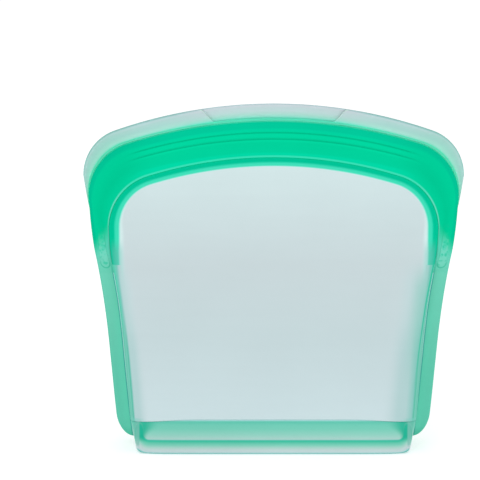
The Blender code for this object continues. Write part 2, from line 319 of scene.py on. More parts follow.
# A colour ramp over a value's own range. Stops are (value, r, g, b), colours in display levels.
def colourRamp(tree, value, stops):
    low, high = stops[0][0], stops[-1][0]
    share = addNode(tree, "ShaderNodeMapRange", {0: value, 1: low, 2: high}).outputs[0]
    ramp = addNode(tree, "ShaderNodeValToRGB", {0: share})
    bands = ramp.color_ramp.elements
    while len(bands) < len(stops):
        bands.new(1.0)
    for band, (at, *colour) in zip(bands, stops):
        band.position = (at - low) / (high - low)
        band.color = srgb(*colour)
    return ramp.outputs[0]


def noise(tree, look):
    return addNode(tree, "ShaderNodeTexNoise", look).outputs["Fac"]


def mark(tree, name):
    return addNode(tree, "ShaderNodeAttribute", attribute_name=name).outputs["Fac"]


# Object coordinates, whole and as x, y and z in millimetres.
def objectPlace(tree):
    place = addNode(tree, "ShaderNodeTexCoord").outputs["Object"]
    toMillimetres = {0: place, 1: (1000, 1000, 1000)}
    scaled = addNode(tree, "ShaderNodeVectorMath", toMillimetres, operation="MULTIPLY").outputs[0]
    parts = addNode(tree, "ShaderNodeSeparateXYZ", {0: scaled}).outputs
    return place, parts[0], parts[1], parts[2]


def newGroup(name, inputs, outputs):
    group = bpy.data.node_groups.new(name, "ShaderNodeTree")
    for key, default in inputs.items():
        socket = group.interface.new_socket(key, in_out="INPUT", socket_type="NodeSocketFloat")
        socket.default_value = default
    for key in outputs:
        group.interface.new_socket(key, in_out="OUTPUT", socket_type="NodeSocketFloat")
    given = group.nodes.new("NodeGroupInput").outputs
    return group, given, group.nodes.new("NodeGroupOutput").inputs


def placeGroup(tree, group, values):
    made = tree.nodes.new("ShaderNodeGroup")
    made.node_tree = group
    for key, value in values.items():
        feed(tree, made.inputs[key], value)
    return made.outputs


# Satin moulding skin: a fine frost, long faint flow streaks and slow cloudiness. The shade is 1
# plus the tone's share of cloud and streaks, and the sheen moves the roughness about its mean.
def makeSkinGroup():
    defaults = {"tone": 0.1, "sheen": 0.1, "roughness": 0.4}
    group, given, out = newGroup("siliconeSkin", defaults, ("height", "shade", "rough"))
    place = addNode(group, "ShaderNodeTexCoord").outputs["Object"]
    frost = noise(group, {"Vector": place, "Scale": 2200.0, "Detail": 2.0})
    cloud = noise(group, {"Vector": place, "Scale": 28.0, "Detail": 3.0, "Roughness": 0.45})
    alongFlow = {"Vector": place, "Scale": (18.0, 60.0, 240.0)}
    stretched = addNode(group, "ShaderNodeMapping", alongFlow).outputs[0]
    streaks = noise(group, {"Vector": stretched, "Scale": 1.0, "Detail": 2.0})
    streaks = times(group, minus(group, streaks, 0.5), 0.5)
    tone = plus(group, minus(group, cloud, 0.5), streaks)
    sheen = plus(group, times(group, frost, 0.4), times(group, cloud, 0.6))
    moved = times(group, minus(group, sheen, 0.5), given["sheen"])
    group.links.new(frost, out["height"])
    group.links.new(plus(group, 1.0, times(group, tone, given["tone"])), out["shade"])
    group.links.new(plus(group, given["roughness"], moved), out["rough"])
    return group


# Signed distance to the bottom and sides of a rounded box in the front elevation, in millimetres.
def boxDistance(tree, x, z, halfWidth, bottom, radius):
    across = minus(tree, unsigned(tree, x), halfWidth - radius)
    down = minus(tree, bottom + radius, z)
    squares = [calc(tree, "POWER", calc(tree, "MAXIMUM", side, 0.0), 2.0) for side in (across, down)]
    outside = calc(tree, "SQRT", plus(tree, *squares))
    inside = calc(tree, "MINIMUM", calc(tree, "MAXIMUM", across, down), 0.0)
    return minus(tree, plus(tree, outside, inside), radius)


# Small bubbles and dimples left where the seam was pressed, between two heights.
def makeSeamGroup():
    defaults = {"scale": 600.0, "from": 90.0, "to": 110.0}
    group, given, out = newGroup("seamDimples", defaults, ("mask", "dimple"))
    place, _, _, z = objectPlace(group)
    start = rise(group, z, given["from"], plus(group, given["from"], 3.0))
    end = fall(group, z, minus(group, given["to"], 6.0), given["to"])
    cellLook = {"Vector": place, "Scale": given["scale"], "Randomness": 1.0}
    cells = addNode(group, "ShaderNodeTexVoronoi", cellLook, feature="SMOOTH_F1").outputs["Distance"]
    warp = noise(group, {"Vector": place, "Scale": times(group, given["scale"], 0.7), "Detail": 2.0})
    group.links.new(times(group, start, end), out["mask"])
    group.links.new(times(group, plus(group, cells, warp), 0.6), out["dimple"])
    return group


skin = makeSkinGroup()
seamDimples = makeSeamGroup()


# Silicone: one shader with its plain values on its own sockets. The tint keeps a green part's
# gloss green.
def newMaterial(name, look):
    made = bpy.data.materials.new(name)
    made.use_nodes = True
    shader = made.node_tree.nodes["Principled BSDF"]
    tint = (*look.get("glossTint", (1, 1, 1)), 1)
    setInputs(shader, {"Roughness": look["roughness"], "IOR": 1.41, "Specular Tint": tint})
    setInputs(shader, {"Specular IOR Level": look["specular"]})
    setInputs(shader, {"Transmission Weight": look.get("transmission", 0.0)})
    return made, made.node_tree, shader


# Puts the skin's shade on a colour, and links colour, roughness and frost to the shader.
def finishSkin(tree, shader, colour, look, extraHeight=None):
    layer = placeGroup(tree, skin, {key: look[key] for key in ("tone", "sheen", "roughness")})
    shade = layer["shade"]
    grey = addNode(tree, "ShaderNodeCombineColor", {0: shade, 1: shade, 2: shade}).outputs[0]
    tree.links.new(mix(tree, 1.0, colour, grey, "MULTIPLY"), shader.inputs["Base Color"])
    tree.links.new(layer["rough"], shader.inputs["Roughness"])
    height = layer["height"]
    if extraHeight is not None:
        height = plus(tree, times(tree, height, 0.1), extraHeight)
    frost = {"Strength": look["bump"], "Distance": 0.2 * mm, "Height": height}
    tree.links.new(addNode(tree, "ShaderNodeBump", frost).outputs[0], shader.inputs["Normal"])


# Pocket walls: a clear window with a green border.
wallLook = {
    "thickness": 0.9 * mm,
    "tuck": 0.3 * mm,  # the edges reach this far under the flange and the base
    "roughness": 0.46,
    "specular": 0.2,
    "tone": 0.05,
    "sheen": 0.12,
    "bump": 0.12,
    "borderEnd": 94.8,  # height where the wide border stops at both sides, in millimetres
    "borderFull": (100.0, 109.0),  # between these heights the border gains its full contrast
    "windowHeights": [(17, 202, 220, 224), (60, 195, 212, 215), (95, 197, 211, 214),
                      (125, 203, 220, 222), (145, 207, 226, 227)],
    # colours over the border, 0 at the rim and 1 at the window
    "arch": [(0.0, 4, 208, 160), (0.08, 1, 196, 152), (0.3, 1, 192, 148), (0.44, 5, 200, 158),
             (0.54, 48, 217, 180), (0.7, 66, 219, 182), (0.84, 62, 219, 181), (0.93, 124, 227, 207),
             (1.03, 209, 232, 232)],
    "leg": [(0.0, 40, 190, 158), (0.08, 8, 186, 146), (0.2, 50, 188, 158), (0.5, 78, 192, 168),
            (0.8, 88, 200, 176), (0.9, 140, 211, 200), (1.0, 165, 215, 209), (1.14, 200, 221, 224)],
    # the side strips start with a painted highlight along the fold by the fin, painted paler still to
    # offset the shade in that corner
    "sideLow": [(0.0, 128, 210, 192), (0.1, 112, 203, 181), (0.22, 98, 194, 170),
                (0.48, 118, 198, 182), (0.7, 84, 187, 160), (0.88, 128, 196, 187),
                (1.0, 176, 207, 207), (1.12, 178, 207, 208), (1.34, 195, 213, 216)],
    "sideHigh": [(0.0, 122, 214, 192), (0.07, 72, 204, 171), (0.22, 94, 200, 176),
                 (0.5, 116, 196, 182), (0.64, 142, 199, 192), (0.8, 170, 206, 206),
                 (1.0, 180, 209, 209), (1.12, 190, 212, 214), (1.34, 198, 213, 216)],
    "footTone": (120, 200, 186),
    "rightShadeTone": (120, 196, 180),
    "sideLine": (40, 188, 154),
    "sideTurn": (48.0, 76.0),  # between these heights the lower side strip turns into the upper one
    "rimTint": (0.02, 0.85, 0.6),  # gloss of the green border
    # the right side's strip, painted shade on the side away from the key light: heights in millimetres,
    # places by across
    "rightSide": (30.0, 50.0),  # it takes over between these x
    "rightReach": (0.6, 0.3),  # slope and start of its slower colours
    "linePath": (1.36, 0.0127),  # place of its dark line at the floor, and its drift a millimetre
    "lineWidth": (0.05, 0.17),
    "lineHeights": (24.0, 70.0),
    "shadeWidth": (0.95, 1.4),
    "shadeHeights": (26.0, 60.0),
    "shadeFade": (78.0, 96.0),
    "archCounts": (60, 48),
    "sideCount": 130,
    "acrossCount": 30,
    "crownEnd": 84,  # station on the window's outline where its crown ends and its sides start
    "crownPower": 1.6,
    "raisedHeight": 0.2,
    "grooveDepth": 0.35,
    "markLength": 20 * mm,  # inside the window, across grows by 1 over this distance
}


def makeWallMaterial(name, tint):
    look = wallLook
    made, tree, shader = newMaterial(name, look | {"glossTint": tint})
    _, x, _, high = objectPlace(tree)
    across = mark(tree, "across")
    window = colourRamp(tree, high, look["windowHeights"])
    # painted shade: the right side's strip reaches further into the window and takes a deeper green, on
    # the side away from the key light
    right = rise(tree, x, *look["rightSide"])
    slope, start = look["rightReach"]
    slower = calc(tree, "MINIMUM", across, plus(tree, times(tree, across, slope), start))
    reach = plus(tree, across, times(tree, right, minus(tree, slower, across)))
    arch = colourRamp(tree, across, look["arch"])
    leg = colourRamp(tree, across, look["leg"])
    sideLow = colourRamp(tree, reach, look["sideLow"])
    sideHigh = colourRamp(tree, reach, look["sideHigh"])
    side = mix(tree, rise(tree, high, *look["sideTurn"]), sideLow, sideHigh)
    rightShade = times(tree, fall(tree, across, *look["shadeWidth"]), right)
    rightShade = times(tree, rightShade, rise(tree, high, *look["shadeHeights"]), 0.55)
    fade = times(tree, rise(tree, high, *look["shadeFade"]), 0.45)
    rightShade = times(tree, rightShade, minus(tree, 1.0, fade))
    side = paint(tree, side, look["rightShadeTone"], rightShade)
    # a dark line runs down it and drifts inwards
    start, drift = look["linePath"]
    centre = minus(tree, start, times(tree, high, drift))
    line = fall(tree, unsigned(tree, minus(tree, across, centre)), *look["lineWidth"])
    line = times(tree, line, right, rise(tree, high, *look["lineHeights"]), 0.95)
    side = paint(tree, side, look["sideLine"], line)
    full = rise(tree, high, *look["borderFull"])
    border = mix(tree, full, leg, arch)
    # the border's edge is crisp over the crown and melts into the window down the legs
    melt = fall(tree, high, 104.0, 132.0)
    start = plus(tree, 0.97, times(tree, melt, 0.06))
    end = plus(tree, 1.03, times(tree, melt, 0.12))
    border = mix(tree, rise(tree, across, start, end), border, window)
    side = mix(tree, rise(tree, reach, 1.1, 1.4), side, window)
    # the wide border stops at a step, which is soft inside the window
    low = look["borderEnd"]
    step = rise(tree, high, low - 0.25, low + 0.25)
    soft = rise(tree, high, low - 12.0, low + 6.0)
    isBorder = mix(tree, rise(tree, across, 1.0, 1.03), step, soft)
    colour = mix(tree, isBorder, side, border)
    # a paler green line where the wall enters the base
    foot = fall(tree, high, trayTop / mm, trayTop / mm + 0.9)
    foot = times(tree, foot, fall(tree, across, 1.0, 1.3))
    colour = paint(tree, colour, look["footTone"], times(tree, foot, 0.5))
    finishSkin(tree, shader, colour, look)
    return made


# Lengths of an array of vectors, as a column.
def lengths(vectors):
    return np.linalg.norm(vectors, axis=1)[:, None]


# Distance from each point to a chain of short segments.
def nearest(points, chain):
    start, along = chain[:-1], np.diff(chain, axis=0)
    length = np.maximum((along**2).sum(1), 1e-18)
    offset = points[:, None, :] - start[None]
    share = np.clip((offset * along[None]).sum(-1) / length[None], 0, 1)
    return np.sqrt(((offset - share[..., None] * along[None]) ** 2).sum(-1)).min(1)


# Half of an arch with its side line below, down to a height.
def archAndSide(archName, sideName, bottom):
    arch = archHalf(outline[archName], *wallLook["archCounts"])
    z = np.linspace(outline[archName]["shoulder"] * mm, bottom, wallLook["sideCount"])[1:]
    return np.concatenate([arch, np.stack([smoothLine(z, outline[sideName]), z], 1)])


# The border strip runs from the rim (across = 0) to the window's edge (across = 1), with a groove
# beside the band and a low raised edge beside the window. Its first column is tucked under the
# flange. The window is a patch whose two sides and crown are the strip's last column: its rows are
# the side line's heights, and rise to the crown with a power of the height.
def makeWall(name, rear, materials):
    look = wallLook
    bottom = trayTop - look["tuck"]
    windowHalf = archAndSide("window", "windowSide", bottom)
    rimHalf = archAndSide("rim", "rimSide", bottom)
    pathWindow, pathRim = wholePath(windowHalf), wholePath(rimHalf)
    turn = np.linspace(0, 1, look["acrossCount"])[None, :]
    # closer columns at the rim where the wall is steep
    steep = fallStep(100 * mm, 118 * mm, pathRim[:, 1])[:, None]
    across = turn**2.4 * steep + turn * (1 - steep)
    reach = (pathWindow - pathRim)[:, None, :]
    flat = pathRim[:, None, :] + reach * across[..., None]
    away = reach[:, 0] / lengths(reach[:, 0])
    tucked = pathRim - away * look["tuck"]
    x, z = flat[..., 0], flat[..., 1]
    depth = wallDepth(x, z)
    groove = smoothStep(0.02, 0.12, across) * fallStep(0.42, 0.54, across)
    raised = smoothStep(0.5, 0.6, across) * fallStep(0.9, 1.0, across)
    borderLow = look["borderEnd"] * mm
    isBorder = smoothStep(borderLow - 0.5 * mm, borderLow + 0.5 * mm, z)
    isBorder = isBorder * (0.4 + 0.6 * smoothStep(borderLow, 110 * mm, z))
    relief = look["raisedHeight"] * raised - look["grooveDepth"] * groove
    depth = depth + relief * mm * isBorder
    depth[:, 0] = flangeDepth(z[:, 0]) - 0.25 * mm
    tuckedDepth = flangeDepth(z[:, :1]) - 0.6 * mm
    x = np.concatenate([tucked[:, :1], x], axis=1)
    z = np.concatenate([tucked[:, 1:], z], axis=1)
    depth = np.concatenate([tuckedDepth, depth], axis=1)
    across = np.concatenate([across[:, :1], across], axis=1)
    stripPoints = np.stack([x, -depth, z], -1).reshape(-1, 3)
    stripFaces = gridFaces(len(pathRim), look["acrossCount"] + 1)
    corner = look["crownEnd"]
    crown = wholePath(windowHalf[: corner + 1])
    side = windowHalf[corner:][::-1]
    spread = (crown[:, 0] / crown[-1, 0])[None, :]
    foot, head = side[0], side[-1]
    lift = ((side[:, 1] - foot[1]) / (head[1] - foot[1]))[:, None]
    patchX = side[:, 0:1] * spread
    patchZ = side[:, 1:2] + (crown[:, 1] - head[1])[None, :] * lift ** look["crownPower"]
    patchDepth = wallDepth(patchX, patchZ)
    # distance to the border's edge, without the lowest third of the sides
    lowest = look["sideCount"] // 3
    edge = pathWindow[lowest : -lowest - 1]
    distance = nearest(np.stack([patchX, patchZ], -1).reshape(-1, 2), edge)
    sideways = (np.interp(patchZ, side[:, 1], side[:, 0]) - np.abs(patchX)).reshape(-1)
    distance = np.minimum(distance, np.where(patchZ.reshape(-1) < 110 * mm, sideways, 1.0))
    patchPoints = np.stack([patchX, -patchDepth, patchZ], -1).reshape(-1, 3)
    patchFaces = gridFaces(len(side), len(crown)) + len(stripPoints)
    points = np.concatenate([stripPoints, patchPoints])
    low = fallStep(trayTop, trayTop + 14 * mm, points[:, 2])
    points[:, 2] -= endDip(points[:, 0]) * low
    # the lowest edge leans in, behind the base's edge
    undipped = points[:, 2] + endDip(points[:, 0]) * low
    points[:, 1] += look["tuck"] * fallStep(bottom, bottom + 0.35 * mm, undipped)
    if rear:
        points = halfTurn(points)
    marks = {"across": np.concatenate([across.reshape(-1), 1 + distance / look["markLength"]])}
    faces = np.concatenate([stripFaces, patchFaces])
    wall = makePiece(name, points, faces, marks, materials[0], weld=True)
    faceAlong(wall, (0, 1 if rear else -1, 0))
    isRim = (faceMark(wall, "across") < 1) & (faceHeights(wall) > borderLow)
    secondMaterial(wall, materials[1], isRim)
    addThickness(wall, look["thickness"])
    return wall


# A piece that runs from the pouch into one mouth half has its placement baked into its points.
def acrossHinge(piece):
    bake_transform(piece)


wallMaterials = (
    makeWallMaterial("frostedWall", (1, 1, 1)),
    makeWallMaterial("greenRim", wallLook["rimTint"]),
)
for end in ("front", "rear"):
    rear = end == "rear"
    wall = makeWall(end + "Wall", rear, wallMaterials)
    acrossHinge(wall)
    nodes = ("lower_panel", "upper_panel", "rim", "left_side_wall", "right_side_wall")
    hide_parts(*(f"{end}_{node}" for node in nodes))
print("pocket walls done")

# Flanges: the green bands with their legs, and the side fins below.
flangeLook = {
    "zipOffsets": (5.35, 8.6),  # two fine lines, millimetres from the outer edge
    "zipDepth": 0.25 * mm,
    "channelHalf": 2.9 * mm,  # recess for the zip track, on the inside
    "channelDepth": 1.85 * mm,
    "channelPlace": 0.4,
    "channelEnd": 107.7 * mm,
    "padPlace": 0.45,  # a low pad with a round end, pressed over the seam on each leg
    "padHalf": 2.7,
    "padEnd": 95.3,
    "archCounts": (90, 60),
    "legFoot": 88.0,  # height where the band's legs pass into the fins
    "finTop": 90.0,  # below this height the faces take the fins' material
    "legCount": 66,
    "finCount": 96,
    "faceCount": 86,
    "backCount": 30,
    "beadHighlightWidth": 1.15,  # of the painted highlight along the inner edge
    "rootTone": (3, 208, 161),
    "zipLine": (0, 189, 139),
    "seam": {"scale": 620.0, "from": 92.0, "to": 116.0},
    "seamSpot": (122, 212, 190),
    "seamPit": (40, 190, 152),
    "padLine": (64, 186, 154),
    "behindLipLight": (54, 232, 190),
    "roughness": 0.42,
    "specular": 0.16,
    "glossTint": (0.02, 0.85, 0.6),
    "tone": 0.07,
    "sheen": 0.1,
    "bump": 0.25,
    # colours by distance from the outer edge, and by height; the paler stripes over the zip are painted
    # highlights on the track's ridges
    "crown": [(0.0, 8, 200, 154), (0.5, 2, 196, 151), (3.0, 2, 196, 151), (3.6, 1, 205, 156),
              (4.6, 1, 207, 156), (5.35, 1, 195, 145), (6.1, 1, 210, 156), (7.5, 1, 208, 155),
              (8.6, 1, 191, 140), (9.3, 3, 211, 157), (10.4, 1, 204, 151), (15.0, 1, 204, 152),
              (16.0, 1, 211, 162), (18.0, 1, 211, 162)],
    "shoulder": [(0.0, 6, 194, 148), (0.5, 1, 190, 145), (2.0, 1, 190, 145), (3.5, 1, 201, 149),
                 (6.5, 0, 200, 147), (9.0, 0, 197, 145), (12.0, 0, 195, 143), (14.0, 0, 198, 146),
                 (18.0, 1, 203, 151)],
    # colours of the painted highlight along the inner edge, by height
    "bead": [(100, 88, 196, 172), (108, 92, 204, 180), (118, 104, 216, 190), (127, 100, 216, 190),
             (136, 66, 219, 182), (150, 54, 220, 180)],
    "pale": [(88.0, 108, 205, 180), (93.0, 108, 206, 181), (97.0, 104, 204, 180),
             (101.0, 98, 209, 183), (106.0, 92, 210, 184), (118.0, 70, 214, 180)],
}


# Inner and outer edge of the flange, from one foot over the arch to the other.
def flangeStations():
    counts = flangeLook["archCounts"]
    rimArch, bandArch = archHalf(outline["rim"], *counts), archHalf(outline["band"], *counts)
    legFoot = flangeLook["legFoot"] * mm
    q = np.linspace(0, 1, flangeLook["legCount"])[1:]
    innerLeg = outline["rim"]["shoulder"] * mm * (1 - q) + legFoot * q
    outerLeg = outline["band"]["shoulder"] * mm * (1 - q) + legFoot * q
    down = np.linspace(0, 1, flangeLook["finCount"])[1:]
    fin = legFoot - (legFoot - finFoot) * (1 - (1 - down) ** 1.6)
    innerZ, outerZ = np.concatenate([innerLeg, fin]), np.concatenate([outerLeg, fin])
    innerX = smoothLine(innerZ, outline["rimSide"])
    outerX = smoothLine(outerZ, outline["outerSide"])
    corner = outline["footHeight"] * mm
    drop = np.clip(finFoot + corner - outerZ, 0, None) / corner
    kept = np.maximum(np.sqrt(np.clip(1 - drop**2, 0, 1)), 0.06)
    root = smoothLine(outerZ, outline["rimSide"])
    outerX = root + (outerX - root) * kept
    inner = np.concatenate([rimArch, np.stack([innerX, innerZ], 1)])
    outer = np.concatenate([bandArch, np.stack([outerX, outerZ], 1)])
    return wholePath(inner), wholePath(outer)


# Height lost at a distance from an edge that is rounded to a radius.
def edgeFall(distance, radius):
    s = np.clip(distance / radius, 0, 1)
    return radius * (1 - np.sqrt(1 - (1 - s) ** 2))


# A closed section carried from one foot over the arch to the other. Across it runs from the inner
# edge to the outer edge on the face, and back along the inside. The face is a plate with rounded
# edges, less two fine grooves over the zip, plus a low swell between them and a pad on each leg.
def makeFlange(name, rear, materials):
    look = flangeLook
    inner, outer = flangeStations()
    width = lengths(outer - inner)
    faceShare = np.linspace(0, 1, look["faceCount"])
    backShare = np.linspace(1, 0, look["backCount"])
    middle = (inner + outer) / 2
    middleX, middleZ = np.abs(middle[:, 0:1]), middle[:, 1:2]
    thickShare = smoothStep(91 * mm, 102 * mm, middleZ)
    thick = (outline["finThickness"] * (1 - thickShare) + outline["bandThickness"] * thickShare) * mm
    back = outline["innerFace"] * mm
    toOuter = (1 - faceShare)[None, :] * width
    toInner = faceShare[None, :] * width
    outerRadius = np.minimum(0.45 * thick, 0.7 * mm)
    face = back + thick - edgeFall(toOuter, outerRadius) - edgeFall(toInner, 0.3 * mm)
    overZip = fallStep(64 * mm, 73 * mm, middleX) * smoothStep(117 * mm, 125 * mm, middleZ)
    offsets = np.array(look["zipOffsets"]) * mm
    groove = np.exp(-(((toOuter[..., None] - offsets) / (0.22 * mm)) ** 2)).sum(-1)
    swell = np.exp(-(((toOuter - offsets.mean()) / (2.6 * mm)) ** 2))
    bead = np.exp(-(((toInner - 0.5 * mm) / (0.4 * mm)) ** 2)) * thickShare
    face = face + (0.22 * mm * swell - look["zipDepth"] * groove) * overZip + 0.12 * mm * bead
    shares = np.concatenate([faceShare, backShare])
    flat = inner[:, None, :] + (outer - inner)[:, None, :] * shares[None, :, None]
    # distance to the pad's outline: a strip along the leg that ends in a half round
    sideways = (shares[None, :] - look["padPlace"]) * width
    below = np.clip(look["padEnd"] * mm - flat[..., 1], 0, None)
    fromPad = np.sqrt(sideways**2 + below**2) - look["padHalf"] * mm
    fromPad = np.where(flat[..., 1] > 116 * mm, 9 * mm, fromPad)
    pad = fallStep(-0.5 * mm, 0.3 * mm, fromPad) * fallStep(106 * mm, 113 * mm, flat[..., 1])
    face = face + 0.3 * mm * pad[:, : len(faceShare)]
    inside = np.broadcast_to(back, (len(inner), len(backShare)))
    depth = np.concatenate([face, inside], axis=1)
    backToInner = backShare[None, :] * width
    fromChannel = np.abs(backToInner - (1 - look["channelPlace"]) * width)
    inChannel = (fromChannel < look["channelHalf"]) & (middleZ > look["channelEnd"])
    depth[:, len(faceShare) :] += look["channelDepth"] * inChannel
    points = np.stack([flat[..., 0], -depth, flat[..., 1]], -1)
    if rear:
        points = halfTurn(points)
    marks = {
        "fromOuter": (1 - shares)[None, :] * width / mm,
        "fromInner": shares[None, :] * width / mm,
        "fromPad": fromPad / mm,
    }
    flange = sweptPiece(name, points, marks, materials[0])
    secondMaterial(flange, materials[1], faceHeights(flange) < look["finTop"] * mm)
    return flange


# Dimples and the outline of the pad, pressed in where the seam ends.
def seamMarks(tree, colour, high):
    seam = placeGroup(tree, seamDimples, flangeLook["seam"])
    fromPad = mark(tree, "fromPad")
    inPad = fall(tree, fromPad, -0.6, 0.2)
    spots = times(tree, seam["mask"], rise(tree, seam["dimple"], 0.5, 0.64), inPad)
    spots = times(tree, spots, fall(tree, high, 100.0, 112.0), 0.6)
    colour = paint(tree, colour, flangeLook["seamSpot"], spots)
    pits = times(tree, seam["mask"], fall(tree, seam["dimple"], 0.4, 0.52), inPad, 0.6)
    colour = paint(tree, colour, flangeLook["seamPit"], pits)
    line = fall(tree, unsigned(tree, fromPad), 0.15, 0.55)
    line = times(tree, line, fall(tree, high, 93.5, 97.0), rise(tree, high, 90.0, 91.5), 0.75)
    colour = paint(tree, colour, flangeLook["padLine"], line)
    height = times(tree, seam["mask"], seam["dimple"], plus(tree, 0.5, inPad), 2.0)
    return colour, height


def makeBandMaterial():
    look = flangeLook
    made, tree, shader = newMaterial("greenBand", look)
    _, x, _, high = objectPlace(tree)
    fromOuter = mark(tree, "fromOuter")
    fromInner = mark(tree, "fromInner")
    aside = unsigned(tree, x)
    crown = colourRamp(tree, fromOuter, look["crown"])
    shoulder = colourRamp(tree, fromOuter, look["shoulder"])
    colour = mix(tree, rise(tree, aside, 58.0, 78.0), crown, shoulder)
    for offset in look["zipOffsets"]:
        near = unsigned(tree, minus(tree, fromOuter, offset))
        line = times(tree, fall(tree, near, 0.1, 0.5), fall(tree, aside, 64.0, 72.5))
        colour = paint(tree, colour, look["zipLine"], line)
    # painted light: the turned edge behind the lip is painted paler to offset the shade the lip casts
    # on it
    behind = times(tree, fall(tree, fromOuter, 0.0, 0.14), rise(tree, high, 126.0, 134.0))
    colour = paint(tree, colour, look["behindLipLight"], behind)
    # the legs turn paler from their inner edge, and lower down all over
    slanted = plus(tree, high, fromInner)
    pale = colourRamp(tree, high, look["pale"])
    colour = mix(tree, fall(tree, slanted, 105.0, 119.0), colour, pale)
    # painted highlight: a pale line along the inner edge, where its rounded edge catches the light
    beadHighlightWidth = look["beadHighlightWidth"]
    bead = fall(tree, fromInner, beadHighlightWidth - 0.25, beadHighlightWidth + 0.25)
    bead = times(tree, bead, rise(tree, fromInner, 0.18, 0.38))
    root = times(tree, fall(tree, fromInner, 0.18, 0.38), rise(tree, high, 100.0, 110.0))
    colour = paint(tree, colour, look["rootTone"], root)
    colour = mix(tree, times(tree, bead, 0.95), colour, colourRamp(tree, high, look["bead"]))
    colour, height = seamMarks(tree, colour, high)
    finishSkin(tree, shader, colour, look, extraHeight=height)
    return made


finLook = {
    "roughness": 0.42,
    "specular": 0.18,
    "tone": 0.1,
    "sheen": 0.1,
    "bump": 0.25,
    "heights": [(5.0, 86, 197, 170), (14.0, 99, 203, 177), (40.0, 99, 202, 176), (60.0, 104, 203, 177),
                (80.0, 107, 205, 180), (90.0, 108, 206, 181)],
    "edgeTone": (84, 186, 158),
    "footTone": (54, 182, 150),
    "darkLine": (66, 172, 164),
    "paleHighlight": (222, 252, 255),
    "innerTone": (108, 217, 190),  # towards the pocket, where the wall stands in the light's way
}


def makeFinMaterial():
    made, tree, shader = newMaterial("greenFin", finLook)
    _, _, _, high = objectPlace(tree)
    fromOuter = mark(tree, "fromOuter")
    fromInner = mark(tree, "fromInner")
    colour = colourRamp(tree, high, finLook["heights"])
    shaded = times(tree, fall(tree, fromInner, 0.8, 5.5), fall(tree, high, 55.0, 85.0), 0.8)
    colour = paint(tree, colour, finLook["innerTone"], shaded)
    edge = times(tree, fall(tree, fromOuter, 0.15, 0.8), 0.3)
    colour = paint(tree, colour, finLook["edgeTone"], edge)
    line = times(tree, fall(tree, fromInner, 0.75, 1.05), 0.9)
    colour = paint(tree, colour, finLook["darkLine"], line)
    # painted highlight: a pale line along the inner edge, painted brighter still to offset the wall's
    # shade there
    line = fall(tree, fromInner, 0.28, 0.5)
    colour = paint(tree, colour, finLook["paleHighlight"], line)
    foot = times(tree, fall(tree, high, 5.4, 11.0), 0.5)
    colour = paint(tree, colour, finLook["footTone"], foot)
    colour, height = seamMarks(tree, colour, high)
    finishSkin(tree, shader, colour, finLook, extraHeight=height)
    return made


flangeMaterials = (makeBandMaterial(), makeFinMaterial())
for end in ("front", "rear"):
    rear = end == "rear"
    flange = makeFlange(end + "Flange", rear, flangeMaterials)
    acrossHinge(flange)
    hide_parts(*(f"{end}_{node}" for node in ("band", "left_fin", "right_fin")))
print("flanges done")

# Pull lips, one behind the other. The front one has a finger notch.
lipLook = {
    "thickness": 1.0 * mm,
    "notch": (31.6 * mm, 36.5 * mm),
    "strip": 1.5 * mm,
    "legEnd": 123.0 * mm,
    "archCounts": (110, 70),
    "legCount": 30,
    "straightCount": 14,
    "edgeCount": 9,
    "rootTuck": 0.2 * mm,  # the root reaches this far behind the band's edge
    "roughness": 0.4,
    "specular": 0.25,
    "transmission": 0.2,
    "tone": 0.1,
    "sheen": 0.1,
    "bump": 0.15,
    # colours by distance from the root, in millimetres; the stops near the root are painted brighter to
    # offset the shade where the lip meets the band
    "middle": [(0.0, 75, 240, 200), (0.5, 124, 243, 216), (1.1, 82, 246, 204), (1.8, 143, 248, 228),
               (2.5, 172, 240, 226), (3.5, 188, 234, 225), (5.0, 203, 230, 230), (6.8, 206, 226, 229),
               (7.8, 214, 225, 231), (8.6, 184, 215, 218)],
    "side": [(0.0, 90, 243, 208), (0.5, 140, 248, 224), (1.1, 84, 248, 206), (1.8, 168, 248, 230),
             (2.4, 186, 245, 233), (3.2, 188, 240, 229), (4.5, 182, 232, 225), (6.5, 189, 229, 225),
             (7.6, 202, 231, 232), (8.6, 184, 224, 223)],
    "edgeTone": (152, 208, 203),
    "notchEndLight": (212, 242, 233),
    "shoulderTone": (236, 252, 245),  # multiplies the colour there
}


# Root and outer edge of a lip. In the notch only a low strip is left above the root.
def lipStations(notched):
    counts = lipLook["archCounts"]
    root, outer = archHalf(outline["lipRoot"], *counts), archHalf(outline["lip"], *counts)
    q = np.linspace(0, 1, lipLook["legCount"])[1:]
    legEnd = lipLook["legEnd"]
    rootZ = outline["lipRoot"]["shoulder"] * mm * (1 - q) + legEnd * q
    outerZ = outline["lip"]["shoulder"] * mm * (1 - q) + (legEnd + 0.4 * mm) * q
    rootX = smoothLine(rootZ, outline["outerSide"])
    outerX = smoothLine(outerZ, outline["lipSide"])
    outerX = np.maximum(outerX, smoothLine(outerZ, outline["outerSide"]) + 0.15 * mm)
    root = np.concatenate([root, np.stack([rootX, rootZ], 1)])
    outer = np.concatenate([outer, np.stack([outerX, outerZ], 1)])
    tuck = lipLook["rootTuck"]
    root = root - (outer - root) / lengths(outer - root) * tuck
    if notched:
        keep = (lipLook["strip"] + tuck) / lengths(outer - root)
        keep = keep + (1 - keep) * smoothStep(*lipLook["notch"], outer[:, 0:1])
        outer = root + (outer - root) * keep
    return wholePath(root), wholePath(outer)


